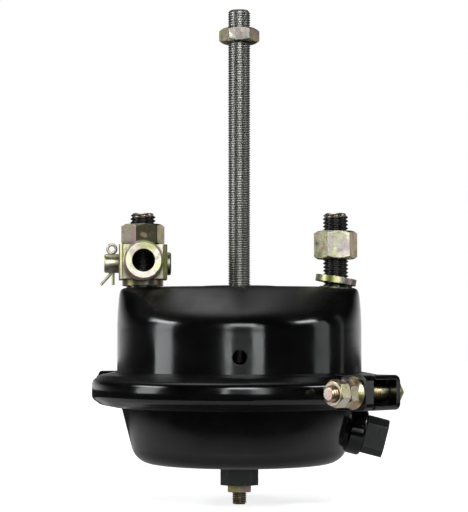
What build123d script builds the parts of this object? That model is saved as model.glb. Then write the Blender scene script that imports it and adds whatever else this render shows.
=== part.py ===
from build123d import *
import os
from math import cos, radians, sin, sqrt, tan

os.makedirs("parts", exist_ok=True)

# Single-diaphragm air brake chamber, size 24. Millimetres, +Z along the push rod.
# Origin: on the push-rod axis, in the plane of the two stud pads.

# ---------------------------------------------------------------- driving sizes
FIT = 0.05  # radial play of a part in the hole that locates it
AIR = 0.5  # space between parts that must not rub

WALL = 3.0  # pressed steel of both housings
CLAMP_Z = -63.0  # mid-plane of the clamp band

BODY_R = 76.0  # outer wall of the non-pressure housing
CROWN_H = 1.0  # centre of the top stands this far above the stud pads
CROWN_R = 24.0
CROWN_EDGE = 2.5  # the crown fades out this far inside the flat
ROOF_OUTLINES = (  # depth, and how far in from the wall the oval is at the studs and at the front
    (0.0, 5.5, 37.5),
    (0.9, 2.7, 33.4),
    (4.5, 1.1, 25.5),
    (12.0, 0.4, 12.5),
    (18.0, 0.1, 4.0),
    (22.0, 0.0, 0.8),
    (27.0, 0.0, 0.0),
)
DRAIN_R = 4.4
DRAIN_RISE = 20.4  # above the clamp plane
DRAIN_COUNT = 3

FLANGE_W = 10.5  # clamping flanges stand out this far from the wall
FLANGE_EDGE = 2.3  # lower face of the flange above the clamp plane, at its rim
FLANGE_RISE = 2.6  # how much higher the same face is at the wall

BOWL_STEP = 2.3  # the pressure housing's wall stands in from the other by this much
BOWL_TAPER = 14.5  # degrees
BOWL_DEPTH = 45.5
BOWL_CORNER = 13.0
BOWL_MOUTH = 9.0  # wall starts this far below the clamp plane

ROD_R = 7.0
ROD_TIP_Z = 174.8
ROD_HOLE_R = 10.5
ROD_NUT_BACK = 20.5  # foot of the nut behind the rod's tip
THREAD_PITCH = 1.5
THREAD_DEPTH = 0.8
ROD_NUT_H = 8.8
ROD_NUT_AF = 22.0

STUD_R = 7.94
STUD_INSET = 15.675  # stud centres in from the wall, for the standard pitch of 120.65
STUD_TIP_Z = 46.7
STUD_HEAD_R = 9.0
STUD_HEAD_H = 4.5
STUD_NUT_AF = 23.8
COLLAR_R = 10.3
COLLAR_H = 1.2
PLATE_T = 3.0  # reinforcing plate inside the top
PLATE_W = 30.0
PLATE_END = 9.2  # plate beyond the stud's centre
RIGHT_NUT_Z = 18.0
RIGHT_NUT_H = 17.5
LEFT_NUT_H = 13.2
LEFT_NUT_TURN = 14.0
RIGHT_NUT_TURN = 6.0

WASHER_R = 12.8
WASHER_BORE_R = 8.6
WASHER_T = 4.0
WASHER_TILT = 9.0  # degrees, the right washer hangs to the outside
WASHER_SPLIT = 2.2
WASHER_SLACK = 0.35  # the tilted washer leans against the stud by this much

RUBBER_T = 4.0
RUBBER_PLAY = 0.8  # rubber to steel where it turns up
RUBBER_LEAN = 2.3
DISH_T = 3.0  # push plate
DISH_EDGE = 9.5  # rim of the plate in from the rubber's foot
HUB_R = 12.0
HUB_H = 6.0

SPRING_WIRE_R = 2.5
SPRING_EDGE = 9.0  # lowest turn in from the plate's rim
SPRING_TOP_R = 20.0
SPRING_TURNS = 5.0

BAND_T = 3.0
BAND_GAP = 2.0  # the band bears on the sloped flanges and clears their rims
BAND_LIP = 2.5  # and its lips clear the wall
BAND_CORNER = 4.0
BAND_HALF = 10.6
JOINT_AZ = -47.0  # front joint, degrees from +X; the other is opposite
LUG_REACH = 20.0
LUG_HALF = 10.2
LUG_FACE = -5.5  # bearing face of the flat lug along the bolt
LUG_DEPTH = 6.5
TROUGH_START = 3.5
TROUGH_END = 24.0
TROUGH_HALF = 10.2
BOLT_OUT = 10.0  # bolt's axis beyond the band
BOLT_R = 4.76
BOLT_TIP = -26.5
BOLT_HEAD_H = 5.8
BOLT_AF = 14.3
FLANGE_NUT_H = 9.5
FLANGE_NUT_R = 9.5
FLANGE_NUT_BRIM = 2.2
JAM_NUT_H = 7.9
JAM_NUT_TURN = 14.0

BOSS_W = 23.4
BOSS_CHAMFER = 4.4
BOSS_H = 13.4
PORT_R = 8.5
AIRWAY_R = 6.0
SIDE_BOSS_DROP = 29.0  # below the clamp plane
SIDE_BOSS_OUT = 10.1  # beyond the wall beside the clamp
SIDE_BOSS_REACH = 6.4
SIDE_PAD_R = 14.2
SIDE_PAD_OUT = 3.8
PLUG_AF = 14.5
PLUG_HEX_H = 4.7
PLUG_STUB_R = 4.5
PLUG_STUB_H = 7.5

CLEVIS_YAW = 4.0  # degrees
CLEVIS_W = 30.0
CLEVIS_H = 21.4
CLEVIS_SLOT = 17.0
CLEVIS_CROTCH = 9.2
CLEVIS_WEB = 5.8
CLEVIS_BARREL_R = 12.3
CLEVIS_FRONT = 31.0
CLEVIS_SINK = 0.8
CLEVIS_PIN_Y = 15.2
PIN_R = 6.0
PIN_STICKOUT = 9.2  # pin's plain end beyond the clevis
PIN_HEAD_R = 7.3
PIN_HEAD_H = 3.0
COTTER_GAP = 4.5  # cotter's axis beyond the clevis
COTTER_WIRE_R = 0.9
COTTER_EYE_R = 2.7
COTTER_LEG = 13.6

# ------------------------------------------------------------- derived positions
STUD_X = BODY_R - STUD_INSET
CROWN_FOOT_R = BODY_R - ROOF_OUTLINES[0][2] - CROWN_EDGE
DRAIN_Z = CLAMP_Z + DRAIN_RISE
FLANGE_R = BODY_R + FLANGE_W
BOWL_R = BODY_R - BOWL_STEP
BOWL_FOOT_R = BOWL_R - (BOWL_DEPTH - BOWL_MOUTH) * tan(radians(BOWL_TAPER))
BAND_R = FLANGE_R + BAND_GAP + BAND_T
BAND_LIP_R = BODY_R + BAND_LIP
LUG_R = BAND_R + LUG_REACH
BOLT_RADIAL = BAND_R + BOLT_OUT
SIDE_BOSS_Z = CLAMP_Z - SIDE_BOSS_DROP
SIDE_BOSS_X = BOWL_R + SIDE_BOSS_OUT
SIDE_PAD_X = BOWL_R + SIDE_PAD_OUT
RUBBER_FOOT_R = BOWL_FOOT_R - WALL - RUBBER_PLAY
RUBBER_SIDE_R = BOWL_R - WALL - RUBBER_LEAN
DISH_R = RUBBER_FOOT_R - DISH_EDGE
SPRING_FOOT_R = DISH_R - SPRING_EDGE
PLATE_L = 2 * (STUD_X + PLATE_END)
PIN_TAIL = CLEVIS_W / 2 + PIN_STICKOUT
COTTER_X = -CLEVIS_W / 2 - COTTER_GAP
ROD_NUT_Z = ROD_TIP_Z - ROD_NUT_BACK
COLLAR_TOP = COLLAR_H
PLATE_Z = -WALL - PLATE_T
FLOOR_Z = CLAMP_Z - BOWL_DEPTH + WALL
RUBBER_Z = FLOOR_Z + AIR
DISH_Z = RUBBER_Z + RUBBER_T
DISH_TOP = DISH_Z + DISH_T
BAND_BORE = BAND_R - BAND_T
CLEVIS_Z = COLLAR_TOP + WASHER_T + CLEVIS_H / 2
LEFT_NUT_Z = CLEVIS_Z + CLEVIS_H / 2
BOTTOM_Z = CLAMP_Z - BOWL_DEPTH


# ------------------------------------------------------------------ shared forms
def side_of(plane):
    """The plane through another plane's normal and x direction."""
    return Plane(origin=plane.origin, x_dir=plane.x_dir, z_dir=plane.y_dir * -1)


def axis_of(plane):
    return Axis(plane.origin, plane.z_dir)


def hex_nut(plane, af, height, bore_r, turn=0):
    """Hexagon with cone-chamfered corners standing on the plane; bore_r 0 leaves it solid."""
    corner = af / sqrt(3)
    flat = af * 0.475
    drop = (corner - flat) * tan(radians(32))
    with BuildPart() as nut:
        with BuildSketch(side_of(plane)):
            with BuildLine():
                Polyline(
                    (0, 0),
                    (flat, 0),
                    (corner, drop),
                    (corner, height - drop),
                    (flat, height),
                    (0, height),
                    close=True,
                )
            make_face()
        revolve(axis=axis_of(plane))
        with BuildSketch(plane):
            RegularPolygon(af / 2, 6, major_radius=False, rotation=turn)
        extrude(amount=height, mode=Mode.INTERSECT)
        if bore_r:
            with BuildSketch(plane):
                Circle(bore_r)
            extrude(amount=height, mode=Mode.SUBTRACT)
    return nut.part


def rod(plane, radius, length, tip):
    """Round bar standing on the plane with a chamfered far end."""
    with BuildPart() as bar:
        with BuildSketch(plane):
            Circle(radius)
        extrude(amount=length)
        ends = bar.edges().filter_by(GeomType.CIRCLE).sort_by(axis_of(plane))
        chamfer(ends[-1], length=tip)
    return bar.part


def roof_form():
    """Solid under the top: an oval flat through both studs, carried down to the round wall."""
    with BuildPart() as form:
        for drop, end_inset, front_inset in ROOF_OUTLINES:
            with BuildSketch(Plane.XY.offset(-drop)):
                Ellipse(BODY_R - end_inset, BODY_R - front_inset)
        loft()
        with BuildSketch(Plane.XY.offset(-ROOF_OUTLINES[-1][0])):
            Circle(BODY_R)
        extrude(amount=ROOF_OUTLINES[-1][0] + CLAMP_Z + BOWL_MOUTH - AIR)
        with BuildSketch(Plane.XZ):
            with BuildLine():
                Polyline(
                    (0, -CROWN_H),
                    (0, CROWN_H),
                    (CROWN_R, CROWN_H),
                    (CROWN_FOOT_R, 0),
                    (CROWN_FOOT_R, -CROWN_H),
                    close=True,
                )
            make_face()
        revolve(axis=Axis.Z)
    return form.part


def bowl_form(inset):
    """Solid bounded by the outside of the pressure housing, moved in by inset."""
    mouth = CLAMP_Z - BOWL_MOUTH + inset
    lip_r = BOWL_R + inset * tan(radians(BOWL_TAPER))
    with BuildPart() as form:
        with BuildSketch(Plane.XZ) as bowl:
            with BuildLine():
                Polyline(
                    (-lip_r, mouth),
                    (-BOWL_FOOT_R, BOTTOM_Z),
                    (BOWL_FOOT_R, BOTTOM_Z),
                    (lip_r, mouth),
                    close=True,
                )
            make_face()
            fillet(bowl.vertices().group_by(Axis.Y)[0], radius=BOWL_CORNER)
            if inset:
                offset(amount=-inset)
            with Locations((BODY_R, 0)):
                Rectangle(2 * BODY_R, 4 * BODY_R, mode=Mode.INTERSECT)
        revolve(axis=Axis.Z)
    return form.part


def flange(wall_r, side):
    """Sloped clamping flange of a housing; side is +1 above the clamp plane, -1 below."""
    low = FLANGE_EDGE
    rise = FLANGE_EDGE + FLANGE_RISE
    with BuildPart() as lip:
        with BuildSketch(Plane.XZ):
            with BuildLine():
                Polyline(
                    (wall_r - WALL, CLAMP_Z + side * BOWL_MOUTH),
                    (wall_r, CLAMP_Z + side * BOWL_MOUTH),
                    (BODY_R + 1.5, CLAMP_Z + side * (rise + WALL - 0.5)),
                    (FLANGE_R, CLAMP_Z + side * (low + WALL)),
                    (FLANGE_R, CLAMP_Z + side * low),
                    (BODY_R, CLAMP_Z + side * rise),
                    (wall_r - WALL, CLAMP_Z + side * (rise + 1)),
                    close=True,
                )
            make_face()
        revolve(axis=Axis.Z)
    return lip.part


# --------------------------------------------------------- non-pressure housing
top_outside = roof_form()
top_flange = flange(BODY_R, 1)

with BuildPart() as non_pressure_housing:
    add(top_outside)
    mouth = non_pressure_housing.faces().sort_by(Axis.Z)[0]
    offset(amount=-WALL, openings=mouth)
    add(top_flange)
    with BuildSketch(Plane.XY.offset(-2 * WALL)):
        Circle(ROD_HOLE_R)
        with Locations((-STUD_X, 0), (STUD_X, 0)):
            Circle(COLLAR_R + FIT)
    extrude(amount=3 * WALL, mode=Mode.SUBTRACT)
    for turn in range(DRAIN_COUNT):
        facing = radians(-90 + turn * 360 / DRAIN_COUNT)
        with BuildSketch(Plane((0, 0, DRAIN_Z), z_dir=(cos(facing), sin(facing), 0))):
            Circle(DRAIN_R)
        extrude(amount=BODY_R + 1, mode=Mode.SUBTRACT)
non_pressure_housing.part.label = "non_pressure_housing"
export_step(non_pressure_housing.part, "parts/non_pressure_housing.step")


# ------------------------------------------------------------- pressure housing
def port_plane(along):
    """Across the side port's axis, at this distance outwards from the boss's centre."""
    tilt = radians(BOWL_TAPER)
    out = Vector(cos(tilt), 0, -sin(tilt))
    centre = Vector(SIDE_BOSS_X, 0, SIDE_BOSS_Z) + out * along
    return Plane(centre, x_dir=(0, 1, 0), z_dir=out)


side_pad_at = (SIDE_PAD_X - SIDE_BOSS_X) / cos(radians(BOWL_TAPER))
bowl_outside = bowl_form(0)
bowl_inside = bowl_form(WALL)
bowl_flange = flange(BOWL_R, -1)

with BuildPart() as pressure_housing:
    add(bowl_outside)
    with BuildSketch(port_plane(side_pad_at)):
        Circle(SIDE_PAD_R)
    extrude(amount=-3 * WALL)
    pad_rim = pressure_housing.edges().filter_by(GeomType.CIRCLE).group_by(Axis.X)[-1]
    fillet(pad_rim, radius=2)
    add(bowl_inside, mode=Mode.SUBTRACT)
    with BuildSketch(port_plane(side_pad_at - WALL)):
        Circle(SIDE_PAD_R - WALL)
    extrude(amount=-3 * WALL, mode=Mode.SUBTRACT)
    add(bowl_flange)
    with BuildSketch(port_plane(side_pad_at - 2 * WALL)):
        Circle(AIRWAY_R)
    extrude(amount=3 * WALL, mode=Mode.SUBTRACT)
    with BuildSketch(Plane.XY.offset(BOTTOM_Z)):
        Circle(AIRWAY_R)
    extrude(amount=2 * WALL, mode=Mode.SUBTRACT)
pressure_housing.part.label = "pressure_housing"
export_step(pressure_housing.part, "parts/pressure_housing.step")


# ------------------------------------------------------------------- air ports
def port_boss(plane, height):
    """Square steel boss with cut corners and a tapped through hole."""
    with BuildPart() as boss:
        with BuildSketch(plane) as outline:
            Rectangle(BOSS_W, BOSS_W)
            chamfer(outline.vertices(), length=BOSS_CHAMFER)
            Circle(PORT_R, mode=Mode.SUBTRACT)
        extrude(amount=height)
    return boss.part


side_port_end = (SIDE_BOSS_X + SIDE_BOSS_REACH - SIDE_PAD_X) / cos(radians(BOWL_TAPER))
side_boss_form = port_boss(port_plane(side_pad_at), side_port_end)
bottom_plane = Plane((0, 0, BOTTOM_Z), x_dir=(1, 0, 0), z_dir=(0, 0, -1))
bottom_boss_form = port_boss(bottom_plane, BOSS_H)

with BuildPart() as port_boss_side:
    add(side_boss_form)
port_boss_side.part.label = "port_boss_side"
export_step(port_boss_side.part, "parts/port_boss_side.step")

with BuildPart() as port_boss_bottom:
    add(bottom_boss_form)
port_boss_bottom.part.label = "port_boss_bottom"
export_step(port_boss_bottom.part, "parts/port_boss_bottom.step")

plug_top = Plane(
    (0, 0, BOTTOM_Z - BOSS_H),
    x_dir=(0, 1, 0),
    z_dir=(0, 0, -1),
)
plug_head = hex_nut(plug_top, PLUG_AF, PLUG_HEX_H, 0)
plug_stub = rod(plug_top.offset(PLUG_HEX_H), PLUG_STUB_R, PLUG_STUB_H, 1.0)

with BuildPart() as bottom_port_plug:
    with BuildSketch(plug_top):
        Circle(PORT_R - FIT)
    extrude(amount=-BOSS_H * 0.75)
    add(plug_head)
    add(plug_stub)
bottom_port_plug.part.label = "bottom_port_plug"
export_step(bottom_port_plug.part, "parts/bottom_port_plug.step")

# ------------------------------------------------------------------- diaphragm
with BuildPart() as diaphragm:
    with BuildSketch(Plane.XZ) as rubber:
        with BuildLine():
            Polyline(
                (0, RUBBER_Z),
                (RUBBER_FOOT_R, RUBBER_Z),
                (RUBBER_SIDE_R, CLAMP_Z - BOWL_MOUTH),
                (BODY_R - 2 * WALL, CLAMP_Z - FLANGE_EDGE - FLANGE_RISE),
                (BODY_R, CLAMP_Z - FLANGE_EDGE - FLANGE_RISE),
                (FLANGE_R, CLAMP_Z - FLANGE_EDGE),
                (FLANGE_R, CLAMP_Z + FLANGE_EDGE),
                (BODY_R, CLAMP_Z + FLANGE_EDGE + FLANGE_RISE),
                (RUBBER_SIDE_R - WALL, CLAMP_Z + FLANGE_EDGE),
                (RUBBER_FOOT_R - RUBBER_T, DISH_Z),
                (0, DISH_Z),
                close=True,
            )
        make_face()
        turn_down = rubber.vertices().filter_by(
            lambda v: v.Y < DISH_Z + 1 and v.X > 1
        )
        fillet(turn_down, radius=7)
    revolve(axis=Axis.Z)
diaphragm.part.label = "diaphragm"
export_step(diaphragm.part, "parts/diaphragm.step")

# ------------------------------------------------------------------ push plate
with BuildPart() as push_plate:
    with BuildSketch(Plane.XZ) as dish:
        with BuildLine():
            Polyline(
                (ROD_R + FIT, DISH_TOP),
                (ROD_R + FIT, DISH_TOP + HUB_H),
                (ROD_R + WALL, DISH_TOP + HUB_H),
                (HUB_R, DISH_TOP),
                (DISH_R - 2 * DISH_T, DISH_TOP),
                (DISH_R - DISH_T, DISH_TOP + DISH_T),
                (DISH_R, DISH_TOP + DISH_T),
                (DISH_R - DISH_T, DISH_Z),
                (0, DISH_Z),
                (0, DISH_TOP),
                close=True,
            )
        make_face()
    revolve(axis=Axis.Z)
push_plate.part.label = "push_plate"
export_step(push_plate.part, "parts/push_plate.step")

# ------------------------------------------------------------ push rod and nut
thread_turns = int(ROD_TIP_Z / THREAD_PITCH) - 1
thread_ridges = [
    (ROD_R - THREAD_DEPTH * (half % 2), half * THREAD_PITCH / 2)
    for half in range(2 * thread_turns + 1)
]
rod_nut_form = hex_nut(
    Plane.XY.offset(ROD_NUT_Z),
    ROD_NUT_AF,
    ROD_NUT_H,
    ROD_R + FIT,
    30,
)

with BuildPart() as push_rod:
    with BuildSketch(Plane.XZ):
        with BuildLine():
            Polyline(
                (0, DISH_TOP),
                (ROD_R, DISH_TOP),
                *thread_ridges,
                (ROD_R, ROD_TIP_Z - 1.2),
                (ROD_R - 1.2, ROD_TIP_Z),
                (0, ROD_TIP_Z),
                close=True,
            )
        make_face()
    revolve(axis=Axis.Z)
push_rod.part.label = "push_rod"
export_step(push_rod.part, "parts/push_rod.step")

with BuildPart() as rod_nut:
    add(rod_nut_form)
rod_nut.part.label = "rod_nut"
export_step(rod_nut.part, "parts/rod_nut.step")

with BuildPart() as rod_guide:
    with BuildSketch(Plane.XZ):
        with BuildLine():
            Polyline(
                (ROD_R + AIR, PLATE_Z),
                (ROD_HOLE_R + 2, PLATE_Z),
                (ROD_HOLE_R + 2, CROWN_H - WALL),
                (ROD_HOLE_R - FIT, CROWN_H - WALL),
                (ROD_HOLE_R - FIT, 0),
                (ROD_R + AIR, 0),
                close=True,
            )
        make_face()
    revolve(axis=Axis.Z)
rod_guide.part.label = "rod_guide"
export_step(rod_guide.part, "parts/rod_guide.step")

# --------------------------------------------------------------- return spring
spring_low = DISH_TOP
spring_high = PLATE_Z
spring_rise = spring_high - spring_low
spring_angle = Vector(spring_rise, 0, 0).get_signed_angle(
    Vector(spring_rise, SPRING_FOOT_R - SPRING_TOP_R, 0)
)

with BuildPart() as return_spring:
    with BuildLine() as coil:
        Helix(
            pitch=spring_rise / SPRING_TURNS,
            height=spring_rise,
            radius=SPRING_FOOT_R,
            center=(0, 0, spring_low),
            cone_angle=-abs(spring_angle),
        )
    with BuildSketch(Plane(coil.line @ 0, z_dir=coil.line % 0)):
        Circle(SPRING_WIRE_R)
    sweep()
    with Locations((0, 0, spring_low)):
        Box(
            4 * SPRING_FOOT_R,
            4 * SPRING_FOOT_R,
            spring_rise,
            align=(Align.CENTER, Align.CENTER, Align.MIN),
            mode=Mode.INTERSECT,
        )
return_spring.part.label = "return_spring"
export_step(return_spring.part, "parts/return_spring.step")

# ------------------------------------------------- studs and what sits on them
left_foot = Plane.XY.offset(PLATE_Z).shift_origin((-STUD_X, 0, PLATE_Z))
right_foot = Plane.XY.offset(PLATE_Z).shift_origin((STUD_X, 0, PLATE_Z))

with BuildPart() as stud_plate:
    with BuildSketch(Plane.XY.offset(PLATE_Z)):
        SlotOverall(PLATE_L, PLATE_W)
        Circle(ROD_HOLE_R + 2 + FIT, mode=Mode.SUBTRACT)
        with Locations((-STUD_X, 0), (STUD_X, 0)):
            Circle(STUD_R + FIT, mode=Mode.SUBTRACT)
    extrude(amount=PLATE_T)
stud_plate.part.label = "stud_plate"
export_step(stud_plate.part, "parts/stud_plate.step")


def stud(foot):
    """Headed stud pushed up through the reinforcing plate from inside."""
    shank = rod(foot, STUD_R, STUD_TIP_Z - PLATE_Z, 2.1)
    with BuildPart() as bolt:
        with BuildSketch(foot):
            Circle(STUD_HEAD_R)
        extrude(amount=-STUD_HEAD_H)
        add(shank)
    return bolt.part


def collar(foot):
    """Ring in the housing's stud hole, standing on the reinforcing plate."""
    with BuildPart() as ring:
        with BuildSketch(foot.offset(PLATE_T)):
            Circle(COLLAR_R)
            Circle(STUD_R + FIT, mode=Mode.SUBTRACT)
        extrude(amount=WALL + COLLAR_H)
    return ring.part


def lock_washer(plane):
    """Split spring washer lying on the plane, slit towards +Y."""
    with BuildPart() as ring:
        with BuildSketch(plane):
            Circle(WASHER_R)
            Circle(WASHER_BORE_R, mode=Mode.SUBTRACT)
        extrude(amount=WASHER_T)
        with BuildSketch(side_of(plane)):
            with BuildLine():
                Polyline(
                    (0, 0),
                    (WASHER_SPLIT, 0),
                    (2 * WASHER_SPLIT, WASHER_T),
                    (WASHER_SPLIT, WASHER_T),
                    close=True,
                )
            make_face()
        extrude(amount=-WASHER_R, mode=Mode.SUBTRACT)
    return ring.part


left_stud_form = stud(left_foot)
right_stud_form = stud(right_foot)
left_collar_form = collar(left_foot)
right_collar_form = collar(right_foot)

with BuildPart() as mounting_stud_left:
    add(left_stud_form)
mounting_stud_left.part.label = "mounting_stud_left"
export_step(mounting_stud_left.part, "parts/mounting_stud_left.step")

with BuildPart() as mounting_stud_right:
    add(right_stud_form)
mounting_stud_right.part.label = "mounting_stud_right"
export_step(mounting_stud_right.part, "parts/mounting_stud_right.step")

with BuildPart() as stud_collar_left:
    add(left_collar_form)
stud_collar_left.part.label = "stud_collar_left"
export_step(stud_collar_left.part, "parts/stud_collar_left.step")

with BuildPart() as stud_collar_right:
    add(right_collar_form)
stud_collar_right.part.label = "stud_collar_right"
export_step(stud_collar_right.part, "parts/stud_collar_right.step")

washer_lean = radians(WASHER_TILT)
washer_lean_x = Vector(cos(washer_lean), 0, -sin(washer_lean))
washer_lean_z = Vector(sin(washer_lean), 0, cos(washer_lean))
washer_rest = Vector(STUD_X + COLLAR_R, 0, COLLAR_TOP)
washer_seat = Plane(
    washer_rest - washer_lean_x * (COLLAR_R + WASHER_SLACK),
    x_dir=washer_lean_x,
    z_dir=washer_lean_z,
)
left_seat = Plane((-STUD_X, 0, COLLAR_TOP))
right_washer_form = lock_washer(washer_seat)
left_washer_form = lock_washer(left_seat)

with BuildPart() as lock_washer_right:
    add(right_washer_form)
lock_washer_right.part.label = "lock_washer_right"
export_step(lock_washer_right.part, "parts/lock_washer_right.step")

with BuildPart() as lock_washer_left:
    add(left_washer_form)
lock_washer_left.part.label = "lock_washer_left"
export_step(lock_washer_left.part, "parts/lock_washer_left.step")

left_nut_form = hex_nut(
    Plane((-STUD_X, 0, LEFT_NUT_Z)),
    STUD_NUT_AF,
    LEFT_NUT_H,
    STUD_R + FIT,
    LEFT_NUT_TURN,
)
right_nut_form = hex_nut(
    Plane((STUD_X, 0, RIGHT_NUT_Z)),
    STUD_NUT_AF,
    RIGHT_NUT_H,
    STUD_R + FIT,
    RIGHT_NUT_TURN,
)

with BuildPart() as stud_nut_left:
    add(left_nut_form)
stud_nut_left.part.label = "stud_nut_left"
export_step(stud_nut_left.part, "parts/stud_nut_left.step")

with BuildPart() as stud_nut_right:
    add(right_nut_form)
stud_nut_right.part.label = "stud_nut_right"
export_step(stud_nut_right.part, "parts/stud_nut_right.step")


# ------------------------------------------------------------------ clamp band
def joint_plane(azimuth):
    """Origin on the axis, x outwards through the bolt, normal along the bolt."""
    outwards = Vector(cos(radians(azimuth)), sin(radians(azimuth)), 0)
    along = Vector(-sin(radians(azimuth)), cos(radians(azimuth)), 0)
    return Plane((0, 0, CLAMP_Z), x_dir=outwards, z_dir=along)


def band_half(azimuth):
    """Half of the band: open trough lug at this azimuth, shallow box lug half a turn on."""
    start = joint_plane(azimuth)
    end = joint_plane(azimuth + 180)
    sweep_from = azimuth + TROUGH_START / radians(BAND_BORE)
    sweep_by = 180 - (TROUGH_START - 1) / radians(BAND_BORE)
    section = Plane(
        (0, 0, CLAMP_Z),
        x_dir=(cos(radians(sweep_from)), sin(radians(sweep_from)), 0),
        z_dir=(sin(radians(sweep_from)), -cos(radians(sweep_from)), 0),
    )
    with BuildPart() as half:
        with BuildSketch(start.offset(TROUGH_START)) as box:
            with Locations((BAND_BORE - BAND_T, 0)):
                Rectangle(
                    LUG_R - BAND_BORE + BAND_T,
                    2 * TROUGH_HALF,
                    align=(Align.MIN, Align.CENTER),
                )
            fillet(box.vertices().group_by(Axis.X)[-1], radius=4)
        extrude(amount=TROUGH_END - TROUGH_START)
        with BuildSketch(start.offset(TROUGH_START)):
            with Locations((BAND_BORE - BAND_T, 0)):
                Rectangle(
                    LUG_R,
                    2 * (TROUGH_HALF - BAND_T + 0.5),
                    align=(Align.MIN, Align.CENTER),
                )
        extrude(amount=TROUGH_END - TROUGH_START - BAND_T, mode=Mode.SUBTRACT)
        with BuildSketch(end.offset(LUG_FACE)) as flat:
            with Locations((BAND_BORE - BAND_T, 0)):
                Rectangle(
                    LUG_R - BAND_BORE + BAND_T,
                    2 * LUG_HALF,
                    align=(Align.MIN, Align.CENTER),
                )
            fillet(flat.vertices().group_by(Axis.X)[-1], radius=4)
        extrude(amount=LUG_DEPTH)
        with BuildSketch(end.offset(LUG_FACE + BAND_T)):
            with Locations((BAND_BORE - BAND_T, 0)):
                Rectangle(
                    LUG_R - BAND_BORE,
                    2 * (LUG_HALF - BAND_T),
                    align=(Align.MIN, Align.CENTER),
                )
        extrude(amount=LUG_DEPTH, mode=Mode.SUBTRACT)
        with BuildSketch(Plane.XY.offset(CLAMP_Z - BAND_HALF)):
            Circle(BAND_BORE)
        extrude(amount=2 * BAND_HALF, mode=Mode.SUBTRACT)
        with BuildSketch(start.offset(TROUGH_START), end.offset(LUG_FACE)):
            with Locations((BOLT_RADIAL, 0)):
                Circle(BOLT_R + AIR)
        extrude(amount=TROUGH_END, mode=Mode.SUBTRACT)
        with BuildSketch(section):
            with BuildLine():
                outer = FilletPolyline(
                    (BAND_LIP_R, BAND_HALF),
                    (BAND_R - BAND_CORNER - 1, BAND_HALF - 1.6),
                    (BAND_R, BAND_HALF / 2),
                    (BAND_R, -BAND_HALF / 2),
                    (BAND_R - BAND_CORNER - 1, -BAND_HALF + 1.6),
                    (BAND_LIP_R, -BAND_HALF),
                    radius=BAND_CORNER,
                )
                inner = FilletPolyline(
                    (BAND_LIP_R, BAND_HALF - BAND_T),
                    (BAND_BORE - 3, BAND_HALF - BAND_T - 1.3),
                    (BAND_BORE, BAND_HALF / 2 - 1.5),
                    (BAND_BORE, -BAND_HALF / 2 + 1.5),
                    (BAND_BORE - 3, -BAND_HALF + BAND_T + 1.3),
                    (BAND_LIP_R, -BAND_HALF + BAND_T),
                    radius=1.2,
                )
                Line(outer @ 0, inner @ 0)
                Line(outer @ 1, inner @ 1)
            make_face()
        revolve(axis=Axis((0, 0, CLAMP_Z), (0, 0, 1)), revolution_arc=sweep_by)
    return half.part


near_band_form = band_half(JOINT_AZ + 180)
far_band_form = band_half(JOINT_AZ)

with BuildPart() as clamp_band_front:
    add(near_band_form)
clamp_band_front.part.label = "clamp_band_front"
export_step(clamp_band_front.part, "parts/clamp_band_front.step")

with BuildPart() as clamp_band_back:
    add(far_band_form)
clamp_band_back.part.label = "clamp_band_back"
export_step(clamp_band_back.part, "parts/clamp_band_back.step")


# ----------------------------------------------------------------- clamp bolts
def bolt_plane(azimuth, along, facing):
    """On the bolt's axis; facing +1 looks along the bolt, -1 towards its tip."""
    joint = joint_plane(azimuth)
    centre = joint.origin + joint.x_dir * BOLT_RADIAL + joint.z_dir * along
    return Plane(centre, x_dir=(0, 0, 1), z_dir=joint.z_dir * facing)


def clamp_bolt(azimuth):
    """Hexagon-headed bolt, head against the trough, tip beyond the flat lug."""
    head = hex_nut(bolt_plane(azimuth, TROUGH_END, 1), BOLT_AF, BOLT_HEAD_H, 0)
    shank = rod(bolt_plane(azimuth, TROUGH_END, -1), BOLT_R, TROUGH_END - BOLT_TIP, 1.2)
    with BuildPart() as bolt:
        add(head)
        add(shank)
    return bolt.part


def flange_nut(azimuth):
    """Nut with a round brim against the flat lug."""
    foot = bolt_plane(azimuth, LUG_FACE, -1)
    body = hex_nut(foot, BOLT_AF, FLANGE_NUT_H, BOLT_R + FIT)
    with BuildPart() as nut:
        with BuildSketch(side_of(foot)):
            with BuildLine():
                Polyline(
                    (BOLT_R + FIT, 0),
                    (FLANGE_NUT_R, 0),
                    (FLANGE_NUT_R, FLANGE_NUT_BRIM / 2),
                    (BOLT_AF / 2, FLANGE_NUT_BRIM * 1.6),
                    (BOLT_R + FIT, FLANGE_NUT_BRIM * 1.6),
                    close=True,
                )
            make_face()
        revolve(axis=axis_of(foot))
        add(body)
    return nut.part


def jam_nut(azimuth):
    """Plain nut locked against the flange nut."""
    foot = bolt_plane(azimuth, LUG_FACE - FLANGE_NUT_H, -1)
    return hex_nut(foot, BOLT_AF, JAM_NUT_H, BOLT_R + FIT, JAM_NUT_TURN)


front_bolt_form = clamp_bolt(JOINT_AZ)
back_bolt_form = clamp_bolt(JOINT_AZ + 180)
front_flange_nut_form = flange_nut(JOINT_AZ)
back_flange_nut_form = flange_nut(JOINT_AZ + 180)
front_jam_nut_form = jam_nut(JOINT_AZ)
back_jam_nut_form = jam_nut(JOINT_AZ + 180)

with BuildPart() as clamp_bolt_front:
    add(front_bolt_form)
clamp_bolt_front.part.label = "clamp_bolt_front"
export_step(clamp_bolt_front.part, "parts/clamp_bolt_front.step")

with BuildPart() as clamp_bolt_back:
    add(back_bolt_form)
clamp_bolt_back.part.label = "clamp_bolt_back"
export_step(clamp_bolt_back.part, "parts/clamp_bolt_back.step")

with BuildPart() as clamp_flange_nut_front:
    add(front_flange_nut_form)
clamp_flange_nut_front.part.label = "clamp_flange_nut_front"
export_step(clamp_flange_nut_front.part, "parts/clamp_flange_nut_front.step")

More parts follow.
